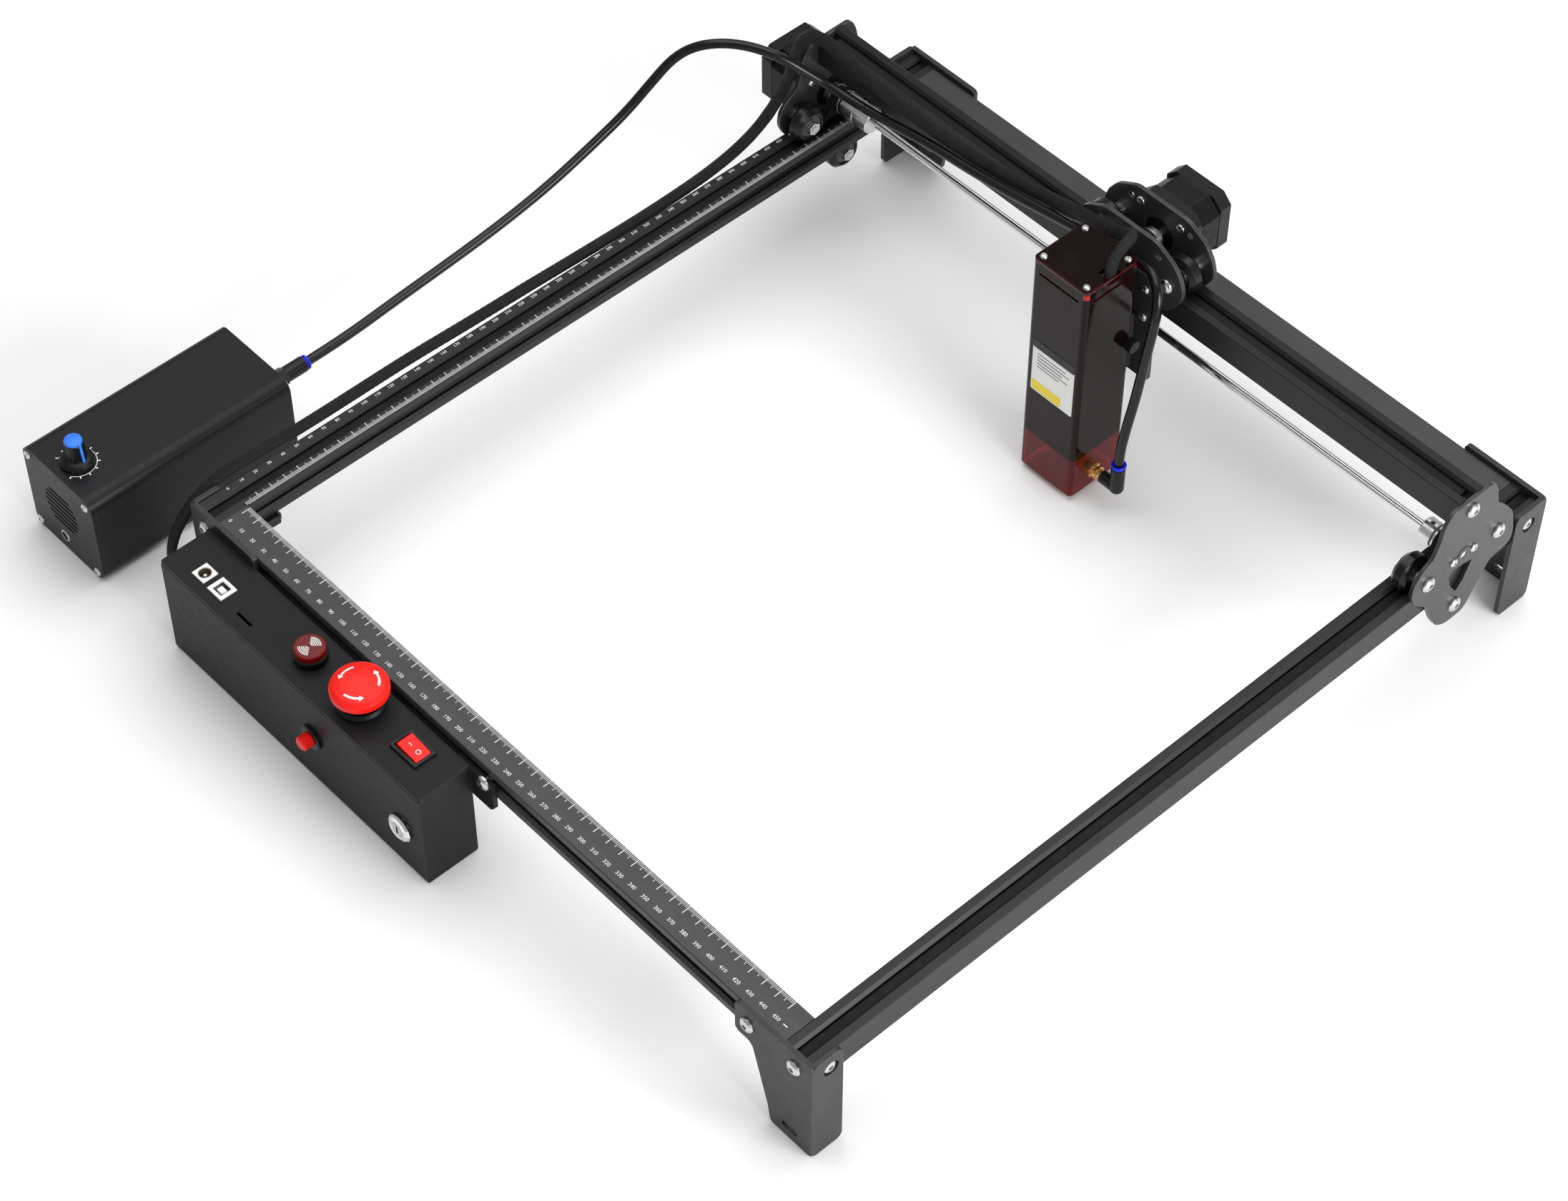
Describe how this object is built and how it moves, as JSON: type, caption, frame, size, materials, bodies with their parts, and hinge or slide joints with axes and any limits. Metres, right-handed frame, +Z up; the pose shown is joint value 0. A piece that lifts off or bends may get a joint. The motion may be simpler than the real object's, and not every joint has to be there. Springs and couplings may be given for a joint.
{
  "type": "desktop laser cutter",
  "caption": "Open-frame desktop laser cutter: belt-driven gantry and carriage carry a shielded laser head over a rail frame with control box and air-assist pump.",
  "frame": {"origin": "centre of the object's box, in the plane it stands on, measured without the hose and sleeve", "axes": "+Z up, +X to the right along the front rail and the gantry, +Y from the control box at the front to the back"},
  "size_m": [0.6282, 0.6062, 0.1903],
  "materials": {
    "frame_dark": "satin dark anodised",
    "frame_grey": "satin grey anodised",
    "sheet_black": "fine satin powder coat",
    "plate_black": "satin anodised sheet with bright edges",
    "beam_black": "satin dark anodised",
    "box_paint": "fine satin powder coat",
    "pump_paint": "fine satin powder coat",
    "screw_steel": "polished nickel plate",
    "rod_chrome": "polished",
    "coupling_alu": "turned",
    "bearing_steel": "satin",
    "belt_rubber": "ribbed, matte",
    "wheel_black": "moulded, satin",
    "motor_black": "satin black",
    "board_green": "solder mask",
    "socket_white": "satin moulded",
    "panel_black": "moulded, satin",
    "lamp_red": "translucent, polished",
    "button_red": "moulded, satin",
    "lock_chrome": "polished",
    "pump_core": "cast",
    "smoked_acrylic": "smoked, polished",
    "red_acrylic": "translucent, polished",
    "module_black": "black anodised, finned",
    "clamp_black": "fluted",
    "brass": "turned",
    "hose_black": "smooth, satin",
    "sleeve_braid": "fine braid"
  },
  "bodies": {
    "frame": {"left_rail": "frame_dark", "right_rail": "frame_dark", "front_rail": "frame_dark", "rear_rail": "frame_grey", "front_legs": "sheet_black", "rear_legs": "sheet_black", "frame_screws": "screw_steel", "y_belts": "belt_rubber", "control_box": "box_paint", "control_box_lid": "box_paint", "control_board": "board_green", "box_sockets": "socket_white", "panel_bezels": "panel_black", "lamp_cap": "lamp_red", "key_lock": "lock_chrome", "pump_case": "pump_paint", "pump_end_plates": "pump_paint", "pump_fitting": "panel_black", "air_pump": "pump_core", "hose_frame": "hose_black", "sleeve_frame": "sleeve_braid"},
    "gantry": {"left_plate": "plate_black", "right_plate": "plate_black", "x_beam": "beam_black", "y_motor": "motor_black", "x_belt": "belt_rubber", "shaft_bearing": "bearing_steel", "gantry_bolts": "screw_steel", "hose_gantry": "hose_black", "sleeve_gantry": "sleeve_braid"},
    "front_wheel_pair": {"front_wheels": "wheel_black"},
    "rear_wheel_pair": {"rear_wheels": "wheel_black"},
    "lower_wheel_pair": {"lower_wheels": "wheel_black"},
    "drive_shaft": {"drive_rod": "rod_chrome", "shaft_couplings": "coupling_alu", "y_pulleys": "coupling_alu"},
    "carriage": {"carriage_front_plate": "plate_black", "carriage_rear_plate": "plate_black", "x_motor": "motor_black", "carriage_bolts": "screw_steel", "head_mount": "plate_black"},
    "left_wheel": {"left_carriage_wheel": "wheel_black"},
    "right_wheel": {"right_carriage_wheel": "wheel_black"},
    "lower_wheel": {"lower_carriage_wheel": "wheel_black"},
    "x_drive": {"x_pulley": "coupling_alu"},
    "laser_head": {"head_shield": "red_acrylic", "head_cover": "smoked_acrylic", "laser_module": "module_black", "head_slider": "panel_black", "air_fitting": "brass", "air_elbow": "panel_black", "hose_head": "hose_black", "sleeve_head": "sleeve_braid"},
    "clamp_screw": {"clamp_knob": "clamp_black"},
    "stop_plunger": {"stop_stem": "panel_black"},
    "stop_mushroom": {"stop_button": "button_red"},
    "power_rocker": {"rocker": "button_red"},
    "reset_push": {"reset_button": "button_red"},
    "key_cylinder": {"key_plug": "lock_chrome"},
    "flow_knob": {"pump_knob": "panel_black"}
  },
  "joints": [
    {"name": "gantry_slide", "type": "slide", "parent": "frame", "child": "gantry", "axis": [0, 1, 0], "range_m": [-0.388, 0.002], "deforming": ["hose_frame", "sleeve_frame"]},
    {"name": "front_wheel_roll", "type": "hinge", "parent": "gantry", "child": "front_wheel_pair", "pos_m": [0.05538, 0.19817, 0.08985], "axis": [1, 0, 0], "range_deg": [-13, 2258]},
    {"name": "rear_wheel_roll", "type": "hinge", "parent": "gantry", "child": "rear_wheel_pair", "pos_m": [0.05538, 0.25657, 0.08985], "axis": [1, 0, 0], "range_deg": [-13, 2258]},
    {"name": "lower_wheel_roll", "type": "hinge", "parent": "gantry", "child": "lower_wheel_pair", "pos_m": [0.05538, 0.22737, 0.05015], "axis": [1, 0, 0], "range_deg": [-2258, 13]},
    {"name": "drive_shaft_turn", "type": "hinge", "parent": "gantry", "child": "drive_shaft", "pos_m": [0.05538, 0.22737, 0.0917], "axis": [1, 0, 0], "range_deg": [-3493, 19]},
    {"name": "carriage_slide", "type": "slide", "parent": "gantry", "child": "carriage", "axis": [1, 0, 0], "range_m": [-0.205, 0.165], "deforming": ["hose_gantry", "sleeve_gantry"]},
    {"name": "left_wheel_roll", "type": "hinge", "parent": "carriage", "child": "left_wheel", "pos_m": [0.03288, 0.22737, 0.14885], "axis": [0, 1, 0], "range_deg": [-1194, 961]},
    {"name": "right_wheel_roll", "type": "hinge", "parent": "carriage", "child": "right_wheel", "pos_m": [0.09388, 0.22737, 0.14885], "axis": [0, 1, 0], "range_deg": [-1194, 961]},
    {"name": "lower_wheel_turn", "type": "hinge", "parent": "carriage", "child": "lower_wheel", "pos_m": [0.06338, 0.22737, 0.10915], "axis": [0, 1, 0], "range_deg": [-961, 1194]},
    {"name": "x_drive_turn", "type": "hinge", "parent": "carriage", "child": "x_drive", "pos_m": [0.06338, 0.22737, 0.1505], "axis": [0, 1, 0], "range_deg": [-1486, 1846]},
    {"name": "head_height", "type": "slide", "parent": "carriage", "child": "laser_head", "axis": [0, 0, 1], "range_m": [-0.003, 0.04], "deforming": ["hose_head", "sleeve_head"]},
    {"name": "clamp_screw_turn", "type": "hinge", "parent": "laser_head", "child": "clamp_screw", "pos_m": [0.08837, 0.19487, 0.109], "axis": [1, 0, 0], "range_deg": [0, 360]},
    {"name": "stop_push", "type": "slide", "parent": "frame", "child": "stop_plunger", "axis": [0, 0, 1], "range_m": [-0.004, 0], "stiffness_N_per_m": 400, "springref_m": 0.002},
    {"name": "stop_twist", "type": "hinge", "parent": "stop_plunger", "child": "stop_mushroom", "pos_m": [-0.02712, -0.27542, 0.085], "axis": [0, 0, 1], "range_deg": [0, 45]},
    {"name": "rocker_tilt", "type": "hinge", "parent": "frame", "child": "power_rocker", "pos_m": [0.01607, -0.27482, 0.071], "axis": [0, 1, 0], "range_deg": [-14, 0]},
    {"name": "reset_push", "type": "slide", "parent": "frame", "child": "reset_push", "axis": [0, 1, 0], "range_m": [0, 0.003], "stiffness_N_per_m": 300, "springref_m": -0.001},
    {"name": "key_turn", "type": "hinge", "parent": "frame", "child": "key_cylinder", "pos_m": [0.02538, -0.29613, 0.033], "axis": [0, 1, 0], "range_deg": [0, 90]},
    {"name": "flow_knob_turn", "type": "hinge", "parent": "frame", "child": "flow_knob", "pos_m": [-0.28013, -0.28113, 0.075], "axis": [0, 0, 1], "range_deg": [-135, 135]}
  ],
  "couplings": [
    {"joint": "front_wheel_roll", "follows": "gantry_slide", "rad_per_m": -101.52},
    {"joint": "rear_wheel_roll", "follows": "gantry_slide", "rad_per_m": -101.52},
    {"joint": "lower_wheel_roll", "follows": "gantry_slide", "rad_per_m": 101.52},
    {"joint": "drive_shaft_turn", "follows": "gantry_slide", "rad_per_m": 157.08},
    {"joint": "left_wheel_roll", "follows": "carriage_slide", "rad_per_m": 101.52},
    {"joint": "right_wheel_roll", "follows": "carriage_slide", "rad_per_m": 101.52},
    {"joint": "lower_wheel_turn", "follows": "carriage_slide", "rad_per_m": -101.52},
    {"joint": "x_drive_turn", "follows": "carriage_slide", "rad_per_m": -157.08}
  ]
}
